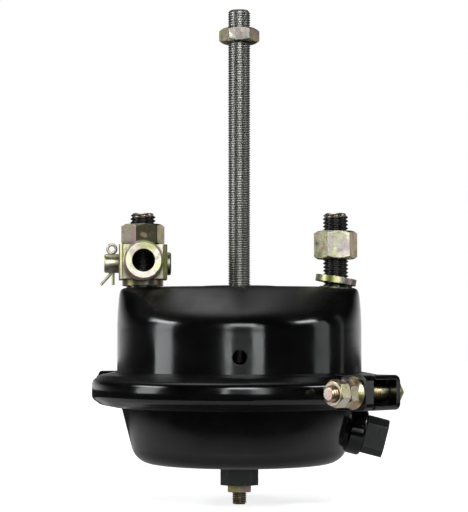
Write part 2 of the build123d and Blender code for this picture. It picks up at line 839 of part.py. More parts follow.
with BuildPart() as clamp_flange_nut_back:
    add(back_flange_nut_form)
clamp_flange_nut_back.part.label = "clamp_flange_nut_back"
export_step(clamp_flange_nut_back.part, "parts/clamp_flange_nut_back.step")

with BuildPart() as clamp_jam_nut_front:
    add(front_jam_nut_form)
clamp_jam_nut_front.part.label = "clamp_jam_nut_front"
export_step(clamp_jam_nut_front.part, "parts/clamp_jam_nut_front.step")

with BuildPart() as clamp_jam_nut_back:
    add(back_jam_nut_form)
clamp_jam_nut_back.part.label = "clamp_jam_nut_back"
export_step(clamp_jam_nut_back.part, "parts/clamp_jam_nut_back.step")

# ---------------------------------------------- clevis kit stored on a stud
clevis_turn = radians(CLEVIS_YAW)
clevis_x = Vector(cos(clevis_turn), sin(clevis_turn), 0)
clevis_y = Vector(-sin(clevis_turn), cos(clevis_turn), 0)
clevis_centre = Vector(-STUD_X, 0, CLEVIS_Z)
clevis_side = Plane(clevis_centre, x_dir=clevis_y, z_dir=clevis_x)
clevis_face = Plane(clevis_centre, x_dir=clevis_x, z_dir=clevis_y * -1)
clevis_top = Plane(clevis_centre, x_dir=clevis_x, z_dir=(0, 0, 1))
pin_centre = clevis_centre + clevis_y * CLEVIS_PIN_Y
pin_axis_out = Plane(pin_centre, x_dir=(0, 0, 1), z_dir=clevis_x)

with BuildPart() as clevis:
    with BuildSketch(clevis_side):
        with Locations((-CLEVIS_CROTCH - CLEVIS_WEB, 0)):
            Rectangle(
                CLEVIS_CROTCH + CLEVIS_WEB + CLEVIS_PIN_Y,
                CLEVIS_H,
                align=(Align.MIN, Align.CENTER),
            )
        with Locations((CLEVIS_PIN_Y, 0)):
            Circle(CLEVIS_H / 2)
    extrude(amount=CLEVIS_W / 2, both=True)
    front_edges = clevis.edges().filter_by(Axis.Z).sort_by(Axis.Y)[:2]
    fillet(front_edges, radius=3.5)
    with BuildSketch(clevis_face.offset(CLEVIS_CROTCH + CLEVIS_WEB - 1)):
        Circle(CLEVIS_BARREL_R)
    extrude(amount=CLEVIS_FRONT - CLEVIS_CROTCH - CLEVIS_WEB + 1)
    rim = clevis.edges().filter_by(GeomType.CIRCLE).sort_by(Axis.Y)[0]
    chamfer(rim, length=0.8)
    with BuildSketch(clevis_top):
        with Locations((0, -CLEVIS_CROTCH)):
            Rectangle(
                CLEVIS_SLOT,
                CLEVIS_CROTCH + CLEVIS_PIN_Y + CLEVIS_H,
                align=(Align.CENTER, Align.MIN),
            )
    extrude(amount=CLEVIS_BARREL_R + 1, both=True, mode=Mode.SUBTRACT)
    with BuildSketch(clevis_face):
        Circle(ROD_R)
    extrude(amount=CLEVIS_FRONT, mode=Mode.SUBTRACT)
    mouth_edge = clevis.edges().filter_by(GeomType.CIRCLE).group_by(Axis.Y)[0].sort_by(SortBy.RADIUS)[0]
    chamfer(mouth_edge, length=CLEVIS_SINK)
    with BuildSketch(pin_axis_out):
        Circle(PIN_R + FIT)
    extrude(amount=CLEVIS_W, both=True, mode=Mode.SUBTRACT)
clevis.part.label = "clevis"
export_step(clevis.part, "parts/clevis.step")

pin_far = Plane(
    pin_centre + clevis_x * (CLEVIS_W / 2),
    x_dir=(0, 0, 1),
    z_dir=clevis_x * -1,
)
pin_shank_form = rod(pin_far, PIN_R, CLEVIS_W / 2 + PIN_TAIL, 0.8)
cotter_plane = Plane(pin_centre + clevis_x * COTTER_X, x_dir=clevis_x, z_dir=(0, 0, 1))

with BuildPart() as clevis_pin:
    add(pin_shank_form)
    with BuildSketch(pin_axis_out.offset(CLEVIS_W / 2)):
        Circle(PIN_HEAD_R)
    extrude(amount=PIN_HEAD_H)
    chamfer(clevis_pin.edges().filter_by(GeomType.CIRCLE).sort_by(Axis.X)[-1], length=0.7)
    with BuildSketch(cotter_plane):
        Circle(2.3 * COTTER_WIRE_R)
    extrude(amount=PIN_HEAD_R, both=True, mode=Mode.SUBTRACT)
clevis_pin.part.label = "clevis_pin"
export_step(clevis_pin.part, "parts/clevis_pin.step")

COTTER_SIDE = COTTER_WIRE_R + FIT
COTTER_BEND = PIN_R + 1
COTTER_SPLAY = 6.0
eye_up = PIN_R + COTTER_EYE_R + AIR
eye_plane = Plane(
    cotter_plane.origin + Vector(0, 0, eye_up),
    x_dir=clevis_x,
    z_dir=clevis_y * -1,
)
bend_at = cotter_plane.origin - clevis_x * COTTER_SIDE - Vector(0, 0, COTTER_BEND)
splay_to = bend_at - clevis_x * COTTER_SPLAY - Vector(0, 0, COTTER_LEG - COTTER_BEND)
splay_plane = Plane(bend_at, z_dir=splay_to - bend_at)

with BuildPart() as cotter_pin:
    with BuildSketch(cotter_plane.offset(-COTTER_BEND)):
        with Locations((-COTTER_SIDE, 0), (COTTER_SIDE, 0)):
            Circle(COTTER_WIRE_R)
    extrude(amount=COTTER_BEND + eye_up - COTTER_EYE_R)
    with BuildSketch(cotter_plane.offset(-COTTER_BEND)):
        with Locations((COTTER_SIDE, 0)):
            Circle(COTTER_WIRE_R)
    extrude(amount=COTTER_BEND - COTTER_LEG)
    with BuildSketch(splay_plane):
        Circle(COTTER_WIRE_R)
    extrude(amount=(splay_to - bend_at).length)
    with Locations(bend_at):
        Sphere(COTTER_WIRE_R)
    with Locations(eye_plane):
        Torus(COTTER_EYE_R, COTTER_WIRE_R)
cotter_pin.part.label = "cotter_pin"
export_step(cotter_pin.part, "parts/cotter_pin.step")
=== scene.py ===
import math

import bpy
from mathutils import Matrix, Vector

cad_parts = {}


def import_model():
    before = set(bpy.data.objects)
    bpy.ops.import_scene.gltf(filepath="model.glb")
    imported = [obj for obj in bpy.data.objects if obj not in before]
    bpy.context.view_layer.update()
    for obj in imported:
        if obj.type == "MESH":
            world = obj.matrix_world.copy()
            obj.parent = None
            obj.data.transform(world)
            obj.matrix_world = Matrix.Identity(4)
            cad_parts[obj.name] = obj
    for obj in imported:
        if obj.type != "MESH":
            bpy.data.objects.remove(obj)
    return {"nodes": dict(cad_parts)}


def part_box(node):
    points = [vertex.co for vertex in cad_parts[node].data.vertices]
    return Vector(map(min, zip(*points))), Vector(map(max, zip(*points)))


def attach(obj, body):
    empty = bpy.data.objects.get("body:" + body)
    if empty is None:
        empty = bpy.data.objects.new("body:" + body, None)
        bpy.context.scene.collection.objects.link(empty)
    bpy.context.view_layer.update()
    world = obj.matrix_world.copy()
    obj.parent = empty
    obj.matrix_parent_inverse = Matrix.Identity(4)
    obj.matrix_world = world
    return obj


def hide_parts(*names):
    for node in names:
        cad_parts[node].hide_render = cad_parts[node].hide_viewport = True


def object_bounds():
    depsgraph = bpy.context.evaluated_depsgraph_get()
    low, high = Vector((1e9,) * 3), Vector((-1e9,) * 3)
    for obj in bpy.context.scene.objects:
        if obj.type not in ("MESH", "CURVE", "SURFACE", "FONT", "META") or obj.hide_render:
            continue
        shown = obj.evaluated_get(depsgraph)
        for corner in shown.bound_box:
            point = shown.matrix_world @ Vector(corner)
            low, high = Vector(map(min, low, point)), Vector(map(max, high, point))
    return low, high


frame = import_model()
cad_box = [list(c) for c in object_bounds()]
nodes = frame["nodes"]
scene = bpy.context.scene

# Sizes in metres. Those of the nodes are as in the source of the part.
ROD_R = 0.007
ROD_ROOT = 0.0062
ROD_PITCH = 0.0015
ROD_CHAMFER = 0.0012
STUD_R = 0.00794
STUD_ROOT = 0.0067
STUD_PITCH = 0.0254 / 11
STUD_CHAMFER = 0.0019
STUD_SHANK = 0.0072
STUD_HEAD_H = 0.0045
STUD_HEAD_EASE = 0.0006
STUD_ZINC_TIP = 0.0024
BOLT_R = 0.00476
BOLT_ROOT = 0.0040
BOLT_PITCH = 0.0254 / 16
BOLT_RADIAL = 0.1015
BOLT_TIP = -0.0265
BOLT_THREAD = 0.040
BOLT_HEAD_AT = 0.024
BOLT_HEAD_H = 0.0058
BOLT_AF = 0.0143
BOLT_CHAMFER = 0.0012
PLUG_R = 0.0045
PLUG_ROOT = 0.0038
PLUG_PITCH = 0.00125
PLUG_CHAMFER = 0.001
PLUG_HEX_LOW = 0.0075
PLUG_HEX_HIGH = 0.0122
PLUG_AF = 0.0145
JOINT_AZ = -47.0
CLAMP_Z = -0.063
BAND_R = 0.0915
SEAM_Z = -0.027
BODY_R = 0.076
NUT_AF = 0.022
DRAIN_R = 0.0044
DRAIN_Z = -0.0426
DRAIN_AZ = (-90, 30, 150)
BEAD_R = 0.00022
BEAD_SUNK = 0.3  # of its radius, into the wall

# The cone that cuts the nut's corners, and the edge from which shading stays sharp.
NUT_CONE = math.radians(32)
SHARP = math.radians(35)

# Sides of the round pieces.
SIDES = 40
SMALL_SIDES = 28
BEAD_SIDES = 8


# ---------------------------------------------------------------- materials
# Colours that only the finishes use.
BAND_EDGE_HIGHLIGHT = (0.075, 0.075, 0.07)
BLOCK_EDGE_HIGHLIGHT = (0.11, 0.12, 0.11)
ZINC_EDGE_WEAR_AND_HIGHLIGHT = (0.86, 0.80, 0.62)
ZINC_PIT = (0.10, 0.09, 0.05)
ZINC_STAIN = (0.17, 0.16, 0.09)
# Painted shade, mixed into the zinc deep in corners.
ZINC_CORNER_SHADE = (0.05, 0.045, 0.03)
GROOVE_TONE = (0.24, 0.235, 0.215)
FILM_TINTS = ((0.38, (1.0, 0.84, 0.84)), (0.48, (1.0, 0.98, 0.95)), (0.6, (0.97, 1.0, 0.72)))
STUD_END = ((0.3, (0.42, 0.44, 0.28)), (0.5, (0.74, 0.64, 0.52)), (0.7, (0.72, 0.52, 0.46)))


class Tree:
    """The node shapes that the finishes, the world and the floor share."""

    def __init__(self, tree):
        self.tree = tree

    def new(self, kind, **values):
        node = self.tree.nodes.new("ShaderNode" + kind)
        for name, value in values.items():
            setattr(node, name, value)
        return node

    def link(self, a, b):
        self.tree.links.new(a, b)

    def ramp(self, fac, *stops):
        r = self.new("ValToRGB")
        while len(r.color_ramp.elements) < len(stops):
            r.color_ramp.elements.new(0.5)
        for element, (at, colour) in zip(r.color_ramp.elements, stops):
            element.position = at
            element.color = (*colour, 1)
        self.link(fac, r.inputs["Fac"])
        return r.outputs["Color"]

    def grey(self, fac, *stops):
        return self.ramp(fac, *((at, (v, v, v)) for at, v in stops))

    def span(self, value, low, high, to_low=0.0, to_high=1.0):
        m = self.new("MapRange")
        for i, v in enumerate((low, high, to_low, to_high), 1):
            m.inputs[i].default_value = v
        self.link(value, m.inputs[0])
        return m.outputs[0]

    def length_across(self, place):
        """Length of a place without its height."""
        flat = self.new("VectorMath", operation="MULTIPLY")
        flat.inputs[1].default_value = (1, 1, 0)
        self.link(place, flat.inputs[0])
        length = self.new("VectorMath", operation="LENGTH")
        self.link(flat.outputs[0], length.inputs[0])
        return length.outputs["Value"]

    def part(self, vector, which):
        s = self.new("SeparateXYZ")
        self.link(vector, s.inputs[0])
        return s.outputs["XYZ".index(which)]


class Nodes(Tree):
    """A material. Its edges are softened by a bevel unless edge is None."""

    def __init__(self, name, edge=0.0004):
        self.material = bpy.data.materials.new(name)
        self.material.use_nodes = True
        super().__init__(self.material.node_tree)
        self.shader = self.tree.nodes["Principled BSDF"]
        self.place = self.new("TexCoord").outputs["Object"]
        self.soft = None
        if edge:
            self.bevel = self.new("Bevel", samples=6)
            self.bevel.inputs["Radius"].default_value = edge
            self.soft = self.bevel.outputs["Normal"]

    def set(self, **values):
        for name, value in values.items():
            self.shader.inputs[name.replace("_", " ")].default_value = value

    def noise(self, scale, detail=3.0, rough=0.55, stretch=(1, 1, 1), seed=0.0):
        move = self.new("Mapping")
        move.inputs["Scale"].default_value = stretch
        move.inputs["Location"].default_value = (seed, seed * 0.7, -seed)
        self.link(self.place, move.inputs["Vector"])
        n = self.new("TexNoise")
        for socket, value in (("Scale", scale), ("Detail", detail), ("Roughness", rough)):
            n.inputs[socket].default_value = value
        self.link(move.outputs["Vector"], n.inputs["Vector"])
        return n.outputs["Fac"]

    def math(self, kind, a, b):
        m = self.new("Math", operation=kind)
        for socket, v in zip(m.inputs, (a, b)):
            if isinstance(v, (int, float)):
                socket.default_value = v
            else:
                self.link(v, socket)
        return m.outputs[0]

    def mix(self, fac, a, b):
        m = self.new("Mix", data_type="RGBA")
        self.link(fac, m.inputs["Factor"])
        for socket, v in ((m.inputs[6], a), (m.inputs[7], b)):
            if isinstance(v, tuple):
                socket.default_value = (*v, 1)
            else:
                self.link(v, socket)
        return m.outputs[2]

    def tinted(self, colour, tint):
        m = self.new("VectorMath", operation="MULTIPLY")
        self.link(colour, m.inputs[0])
        self.link(tint, m.inputs[1])
        return m.outputs[0]

    def across(self):
        """Distance from the axis of the chamber."""
        return self.length_across(self.place)

    def off_height(self, z):
        """Distance above or below a height."""
        return self.math("ABSOLUTE", self.math("SUBTRACT", self.part(self.place, "Z"), z), 0.0)

    def flat_normal(self):
        return self.new("NewGeometry").outputs["Normal"]

    def edges(self, full=0.12):
        """1 along sharp edges, 0 on faces."""
        d = self.new("VectorMath", operation="DOT_PRODUCT")
        self.link(self.soft, d.inputs[0])
        self.link(self.flat_normal(), d.inputs[1])
        return self.span(d.outputs["Value"], 1.0 - full, 1.0 - full / 12, 1.0, 0.0)

    def corners(self):
        """1 deep in corners and between parts, 0 in the open: the mask for painted shade."""
        near = self.new("AmbientOcclusion", samples=6, only_local=False)
        near.inputs["Distance"].default_value = 0.006
        return self.span(near.outputs["AO"], 0.4, 0.88, 0.92, 0.0)

    def bump(self, *layers):
        normal = self.soft
        for height, distance, strength in layers:
            b = self.new("Bump")
            b.inputs["Distance"].default_value = distance
            if isinstance(strength, float):
                b.inputs["Strength"].default_value = strength
            else:
                self.link(strength, b.inputs["Strength"])
            self.link(height, b.inputs["Height"])
            if normal:
                self.link(normal, b.inputs["Normal"])
            normal = b.outputs["Normal"]
        self.link(normal, self.shader.inputs["Normal"])

    def colour(self, socket):
        self.link(socket, self.shader.inputs["Base Color"])

    def rough(self, socket):
        self.link(socket, self.shader.inputs["Roughness"])


def black_coat(name="black_coat", crowned=False):
    """Gloss black over pressed steel: slightly wavy, with fine orange peel."""
    m = Nodes(name, 0.0007)
    m.set(Specular_IOR_Level=0.55)
    paint = m.grey(m.noise(38), (0.35, 0.0012), (0.7, 0.0034))
    # On the band, a painted highlight lightens the edges.
    m.colour(m.mix(m.edges(), paint, BAND_EDGE_HIGHLIGHT) if crowned else paint)
    level = m.span(m.part(m.flat_normal(), "Z"), 0.4, 0.8, 0.0, 0.2)
    m.rough(m.math("ADD", m.span(m.noise(48, 3, 0.55, seed=3.1), 0.3, 0.7, 0.08, 0.2), level))
    wave = m.noise(21, 1, 0.4, stretch=(1, 1, 1.6), seed=1.7)
    layers = [(wave, 0.0016, 0.4), (m.noise(560, 2), 0.00004, 0.25)]
    if crowned:
        # The real band is rounder across than the solid.
        off = m.span(m.off_height(CLAMP_Z), 0.0, 0.01)
        hoop = m.span(m.across(), BAND_R + 0.0002, BAND_R + 0.0006, 1.0, 0.0)
        layers.insert(0, (m.math("MULTIPLY", off, off), -0.004, hoop))
    else:
        # A wide bevel only round the seam between roof and wall.
        seam = m.span(m.off_height(SEAM_Z), 0.003, 0.006, 0.004, 0.0007)
        m.link(seam, m.bevel.inputs["Radius"])
    m.bump(*layers)
    return m.material


def block_coat():
    """The same black on the machined port blocks, duller and greener, with a painted highlight along the
    edges.
    """
    m = Nodes("black_coat_blocks", 0.0011)
    paint = m.ramp(m.noise(120), (0.3, (0.010, 0.013, 0.012)), (0.75, (0.020, 0.025, 0.022)))
    # Painted highlight along the blocks' edges.
    m.colour(m.mix(m.edges(), paint, BLOCK_EDGE_HIGHLIGHT))
    m.rough(m.span(m.noise(260, 4), 0.3, 0.7, 0.26, 0.4))
    m.bump((m.noise(900, 3), 0.00006, 0.5))
    return m.material


def yellow_zinc(name, stops, seed=0.0, rough=(0.3, 0.48)):
    """Chromated zinc. Its film drifts along the stops with noise, and which way a face turns in X sets its
    place on them: painted light and shade, from faces turned left at the first stops to faces turned right at
    the last.
    """
    m = Nodes(name)
    m.set(Metallic=1.0)
    # Painted light and shade by side: faces turned left and right take different colours.
    facing_light_and_shade = m.span(m.part(m.flat_normal(), "X"), -1.0, 1.0)
    drift = m.span(m.noise(70, 3, 0.55, seed=seed), 0.3, 0.7, -0.16, 0.16)
    film = m.ramp(m.math("ADD", facing_light_and_shade, drift), *stops)
    tint = m.ramp(m.noise(90, 2, 0.5, seed=seed + 9), *FILM_TINTS)
    film = m.tinted(film, tint)
    pits = m.span(m.noise(1100, 4, 0.7, seed=seed + 2), 0.34, 0.44, 0.55, 0.0)
    film = m.mix(pits, film, ZINC_PIT)
    stain = m.span(m.noise(190, 4, 0.65, seed=seed + 5), 0.3, 0.42, 0.5, 0.0)
    film = m.mix(stain, film, ZINC_STAIN)
    # Lighter edges: partly wear, partly a painted highlight.
    film = m.mix(m.edges(), film, ZINC_EDGE_WEAR_AND_HIGHLIGHT)
    # Painted shade: the film darkens deep in corners and between parts.
    m.colour(m.mix(m.corners(), film, ZINC_CORNER_SHADE))
    m.rough(m.span(m.noise(240, 4, 0.6, seed=seed + 1), 0.3, 0.7, *rough))
    m.bump((m.noise(480, 4, 0.6, seed=seed), 0.00006, 0.4))
    return m.material


def bare_steel():
    """The push rod: rolled thread, darker down in the groove."""
    m = Nodes("bare_steel", None)
    m.set(Metallic=1.0)
    crest = m.span(m.across(), ROD_ROOT, ROD_R)
    tone = m.ramp(m.noise(90, 4, 0.6), (0.3, (0.48, 0.48, 0.46)), (0.7, (0.64, 0.64, 0.62)))
    m.colour(m.mix(crest, GROOVE_TONE, tone))
    m.rough(m.span(m.noise(240, 3), 0.3, 0.7, 0.3, 0.42))
    m.bump((m.noise(400, 2), 0.00002, 0.15))
    return m.material


def black_steel(name="black_steel", tip=None):
    """Black studs and inner parts. The studs' chamfered ends show zinc."""
    m = Nodes(name, None)
    black = m.ramp(m.noise(150, 4), (0.3, (0.008, 0.008, 0.007)), (0.7, (0.022, 0.021, 0.019)))
    m.set(Specular_IOR_Level=0.6)
    if tip is None:
        m.colour(black)
    else:
        ragged = m.span(m.noise(420, 3), 0.3, 0.7, -0.0004, 0.0004)
        end = m.span(m.math("ADD", m.part(m.place, "Z"), ragged), tip, tip + 0.0004)
        rosy = m.ramp(m.noise(240, 3), *STUD_END)
        m.colour(m.mix(end, black, rosy))
        m.link(end, m.shader.inputs["Metallic"])
    m.rough(m.span(m.noise(300, 3), 0.3, 0.7, 0.16, 0.32))
    m.bump((m.noise(700, 3), 0.00003, 0.4))
    return m.material


def plain(name, low, high, rough, metallic=0.0):
    """Inner parts that are hardly seen: rubber and spring steel."""
    m = Nodes(name)
    m.set(Metallic=metallic)
    m.colour(m.ramp(m.noise(160, 4), (0.3, low), (0.7, high)))
    m.rough(m.span(m.noise(320, 4), 0.3, 0.7, *rough))
    m.bump((m.noise(900, 4), 0.0001, 0.6))
    return m.material


OLIVE = (0.36, 0.37, 0.15)
STRAW = (0.72, 0.66, 0.42)
MOSS = (0.97, 0.95, 0.70)
PEARL = (0.45, 0.42, 0.41)
HAZE = (0.17, 0.175, 0.16)
BLUSH = (0.95, 0.78, 0.66)
YELLOW = (0.80, 0.70, 0.34)
PALE = (0.93, 0.87, 0.82)
ROSE = (0.66, 0.46, 0.36)
SAGE = (0.46, 0.46, 0.30)
GREY = (0.52, 0.45, 0.40)
DARK = (0.05, 0.05, 0.032)

COAT = black_coat()
BAND = black_coat("black_coat_band", crowned=True)
BLOCK = block_coat()
# Each copy's stops mix the zinc film's own colours with the light and shade painted on its parts' faces, from
# left-facing to right-facing.
ZINC = yellow_zinc("yellow_zinc", ((0.1, SAGE), (0.35, OLIVE), (0.5, STRAW), (0.7, PALE), (0.9, ROSE)))
ZINC_NUT_RIGHT = yellow_zinc(
    "yellow_zinc_nut_right", ((0.1, MOSS), (0.34, MOSS), (0.5, PEARL), (0.66, PEARL), (0.88, BLUSH)), 8.1
)
ZINC_NUT_LEFT = yellow_zinc(
    "yellow_zinc_nut_left", ((0.1, GREY), (0.36, GREY), (0.52, DARK), (0.68, DARK), (0.86, STRAW)), 5.2
)
ZINC_NUT_ROD = yellow_zinc(
    "yellow_zinc_nut_rod", ((0.05, MOSS), (0.3, MOSS), (0.46, HAZE), (0.62, HAZE), (0.85, BLUSH)), 6.4
)
ZINC_CLEVIS = yellow_zinc(
    "yellow_zinc_clevis", ((0.05, GREY), (0.3, STRAW), (0.5, PALE), (0.62, SAGE), (0.9, OLIVE)), 4.3
)
ZINC_BOLT = yellow_zinc(
    "yellow_zinc_bolt", ((0.1, PALE), (0.3, ROSE), (0.5, YELLOW), (0.7, PALE), (0.9, STRAW)), 2.2, (0.24, 0.4)
)
STEEL = bare_steel()
BLACK = black_steel()
STUD = black_steel("black_steel_stud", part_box("mounting_stud_right")[1].z - STUD_ZINC_TIP)
# Very dark: the spring's own dark finish, darkened further so the drain holes read black, which is painted
# shade.
SPRING = plain("spring_steel", (0.012, 0.012, 0.013), (0.03, 0.03, 0.033), (0.4, 0.6), 0.2)
RUBBER = plain("rubber", (0.014, 0.014, 0.014), (0.026, 0.026, 0.026), (0.7, 0.9))

FINISHES = {
    COAT: ("non_pressure_housing", "pressure_housing"),
    BAND: ("clamp_band_front", "clamp_band_back"),
    BLOCK: ("port_boss_side", "port_boss_bottom"),
    ZINC: ("lock_washer_left", "lock_washer_right", "rod_nut"),
    ZINC_NUT_RIGHT: ("stud_nut_right",),
    ZINC_NUT_LEFT: ("stud_nut_left",),
    ZINC_CLEVIS: ("clevis", "clevis_pin", "cotter_pin"),
    ZINC_BOLT: (
        "clamp_flange_nut_front",
        "clamp_flange_nut_back",
        "clamp_jam_nut_front",
        "clamp_jam_nut_back",
    ),
    BLACK: ("stud_plate", "stud_collar_left", "stud_collar_right"),
    STEEL: ("push_plate",),
    SPRING: ("return_spring",),
    RUBBER: ("diaphragm", "rod_guide"),
}
for material, names in FINISHES.items():
    for name in names:
        mesh = nodes[name].data
        mesh.materials.clear()
        mesh.materials.append(material)


# ------------------------------------------------------------------ threads
def thread(radius, root, pitch, length, chamfer, segments):
    """A screw thread along +Z from a chamfered tip at 0. The rows follow the helix, four to a turn."""
    verts, faces = [], []
    shape = ((0.0, radius), (0.1, radius), (0.5, root), (0.6, root))
    turns_made = range(-1, math.ceil(length / pitch) + 1)
    rows = [(turn + part, r) for turn in turns_made for part, r in shape]
    for turns, r in rows:
        for i in range(segments + 1):
            angle = math.tau * i / segments
            z = min(max((turns + i / segments) * pitch, 0.0), length)
            ring = min(r, radius - chamfer + z * 1.2)
            verts.append((ring * math.cos(angle), ring * math.sin(angle), z))
    wide = segments + 1
    for k in range(len(rows) - 1):
        for i in range(segments):
            a = k * wide + i
            faces.append((a, a + 1, a + wide + 1, a + wide))
    faces.append(list(reversed(range(segments))))
    return verts, faces


def turned(verts, faces, outline, sides, turn=0.0):
    """Adds a closed solid with this many sides through (height, radius) points."""
    start = len(verts)
    for z, r in outline:
        for i in range(sides):
            angle = math.tau * (i + turn) / sides
            verts.append((r * math.cos(angle), r * math.sin(angle), z))
    for k in range(len(outline) - 1):
        for i in range(sides):
            a = start + k * sides + i
            b = start + k * sides + (i + 1) % sides
            faces.append((a, b, b + sides, a + sides))
    last = start + (len(outline) - 1) * sides
    faces.append([start + i for i in reversed(range(sides))])
    faces.append([last + i for i in range(sides)])


def hexagon(low, high, across):
    """Outline of a hexagon head with eased corners."""
    corner = across / math.sqrt(3)
    ease = 0.06 * across
    return (
        (low, corner - ease),
        (low + 0.5 * ease, corner),
        (high - 0.5 * ease, corner),
        (high, corner - ease),
    )


def nut(low, high, across, bore, ease=0.475, parts=8):
    """Hexagon nut with a face to -Y. A cone cuts its corners back, so each chamfer ends in an arc."""
    rows = []
    flat_r = across * ease
    for i in range(6 * parts):
        angle = math.tau * i / (6 * parts)
        wide = across / 2 / math.cos(angle % (math.pi / 3) - math.pi / 6)
        drop = (wide - flat_r) * math.tan(NUT_CONE)
        shape = (
            (bore, low),
            (flat_r, low),
            (wide, low + drop),
            (wide, high - drop),
            (flat_r, high),
            (bore, high),
        )
        rows.append([(r * math.cos(angle), r * math.sin(angle), z) for r, z in shape])
    deep = len(rows[0])
    faces = []
    for i in range(len(rows)):
        a, b = i * deep, (i + 1) % len(rows) * deep
        for k in range(deep):
            n = (k + 1) % deep
            faces.append((a + k, b + k, b + n, a + n))
    return [v for row in rows for v in row], faces


def piece(name, verts, faces, place, material, slot, body, *stands_for):
    """A visible mesh on a body, in place of the nodes it stands for."""
    mesh = bpy.data.meshes.new(name)
    mesh.from_pydata(verts, [], faces)
    mesh.validate()
    mesh.transform(place)
    mesh.shade_smooth()
    mesh.set_sharp_from_angle(angle=SHARP)
    mesh.materials.append(material)
    o = bpy.data.objects.new(name, mesh)
    scene.collection.objects.link(o)
    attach(o, body)
    if stands_for:
        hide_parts(*stands_for)


def downwards(x, y, z):
    """Turns a thread over, so its tip is on top."""
    return Matrix.Translation((x, y, z)) @ Matrix.Rotation(math.pi, 4, "X")


def push_rod():
    low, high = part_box("push_rod")
    verts, faces = thread(ROD_R, ROD_ROOT, ROD_PITCH, high.z, ROD_CHAMFER, SIDES)
    turned(verts, faces, ((high.z, ROD_R), (high.z - low.z, ROD_R)), SIDES)
    place = downwards(0, 0, high.z)
    piece("push_rod_thread", verts, faces, place, STEEL, "bare_steel", "push_rod_assembly", "push_rod")


def stud(side):
    name = "mounting_stud_" + side
    low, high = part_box(name)
    head_r = (high.x - low.x) / 2
    length = high.z - low.z
    head = length - STUD_HEAD_H
    threaded = head - STUD_SHANK
    verts, faces = thread(STUD_R, STUD_ROOT, STUD_PITCH, threaded, STUD_CHAMFER, SIDES)
    turned(verts, faces, ((threaded, STUD_R), (head, STUD_R)), SIDES)
    turned(verts, faces, ((head, head_r), (length, head_r - STUD_HEAD_EASE)), SIDES)
    place = downwards((low.x + high.x) / 2, (low.y + high.y) / 2, high.z)
    piece(name + "_thread", verts, faces, place, STUD, "black_steel", "chamber", name)


def clamp_bolt(side, azimuth):
    name = "clamp_bolt_" + side
    turn = math.radians(azimuth)
    up = Vector((0, 0, 1))
    outwards = Vector((math.cos(turn), math.sin(turn), 0))
    along = Vector((-math.sin(turn), math.cos(turn), 0))
    tip = outwards * BOLT_RADIAL + along * BOLT_TIP + Vector((0, 0, CLAMP_Z))
    axes = Matrix((up, along.cross(up), along)).transposed().to_4x4()
    head = BOLT_HEAD_AT - BOLT_TIP
    verts, faces = thread(BOLT_R, BOLT_ROOT, BOLT_PITCH, BOLT_THREAD, BOLT_CHAMFER, SMALL_SIDES)
    turned(verts, faces, ((BOLT_THREAD, BOLT_R), (head, BOLT_R)), SMALL_SIDES)
    turned(verts, faces, hexagon(head, head + BOLT_HEAD_H, BOLT_AF), 6, 0.5)
    place = Matrix.Translation(tip) @ axes
    piece(name + "_thread", verts, faces, place, ZINC_BOLT, "yellow_zinc", "chamber", name)


def rod_nut():
    low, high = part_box("rod_nut")
    verts, faces = nut(low.z, high.z, NUT_AF, ROD_R)
    body = "push_rod_assembly"
    piece("rod_nut_dressed", verts, faces, Matrix(), ZINC_NUT_ROD, "yellow_zinc", body, "rod_nut")


def port_plug():
    low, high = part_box("bottom_port_plug")
    stem_r = (high.y - low.y) / 2
    verts, faces = thread(PLUG_R, PLUG_ROOT, PLUG_PITCH, PLUG_HEX_LOW, PLUG_CHAMFER, SMALL_SIDES)
    turned(verts, faces, hexagon(PLUG_HEX_LOW, PLUG_HEX_HIGH, PLUG_AF), 6, 0.5)
    turned(verts, faces, ((PLUG_HEX_HIGH, stem_r), (high.z - low.z, stem_r)), SIDES)
    place = Matrix.Translation((0, 0, low.z))
    name = "bottom_port_plug"
    piece(name + "_thread", verts, faces, place, ZINC, "yellow_zinc", "chamber", name)


def drain_rim(azimuth):
    """Coating that has drawn back to a thin bead round a drain hole."""
    facing = math.radians(azimuth)
    verts, faces = [], []
    for i in range(SIDES):
        a = math.tau * i / SIDES
        for k in range(BEAD_SIDES):
            b = math.tau * k / BEAD_SIDES
            side = (DRAIN_R + BEAD_R * math.cos(b)) * math.cos(a)
            up = (DRAIN_R + BEAD_R * math.cos(b)) * math.sin(a)
            out = math.sqrt(BODY_R**2 - side**2) + BEAD_R * math.sin(b) - BEAD_R * BEAD_SUNK
            verts.append((side, -out, DRAIN_Z + up))
    for i in range(SIDES):
        here, there = i * BEAD_SIDES, (i + 1) % SIDES * BEAD_SIDES
        for k in range(BEAD_SIDES):
            n = (k + 1) % BEAD_SIDES
            faces.append((here + k, here + n, there + n, there + k))
    name = f"drain_rim_{azimuth % 360}"
    place = Matrix.Rotation(facing + math.pi / 2, 4, "Z")
    piece(name, verts, faces, place, COAT, "black_coat", "chamber")


push_rod()
stud("left")
stud("right")
clamp_bolt("front", JOINT_AZ)
clamp_bolt("back", JOINT_AZ + 180)
rod_nut()
port_plug()
for azimuth in DRAIN_AZ:
    drain_rim(azimuth)


# ------------------------------------------------------------ studio, camera
DAYLIGHT = (0.96, 0.99, 1.0)
WHITE = (1, 1, 1, 1)

# What gloss sees of the room: (where, how bright) towards the back, up from the floor, and towards PATCH.
PATCH = (-0.12, 0.36, 0.925)
ROOM_BACK = ((0.0, 0.03), (0.45, 0.1), (0.6, 0.28), (0.8, 0.8), (1.0, 0.9))
ROOM_LOW = ((0.05, 1.0), (0.3, 0.03))
ROOM_PATCH = ((0.75, 0.0), (0.86, 0.05), (0.93, 0.14), (0.965, 0.65), (1.0, 2.0))

FLOOR_REACH = 6.0
FLOOR_COLOUR = (0.8, 0.8, 0.8, 1)
FLOOR_ROUGH = 0.9
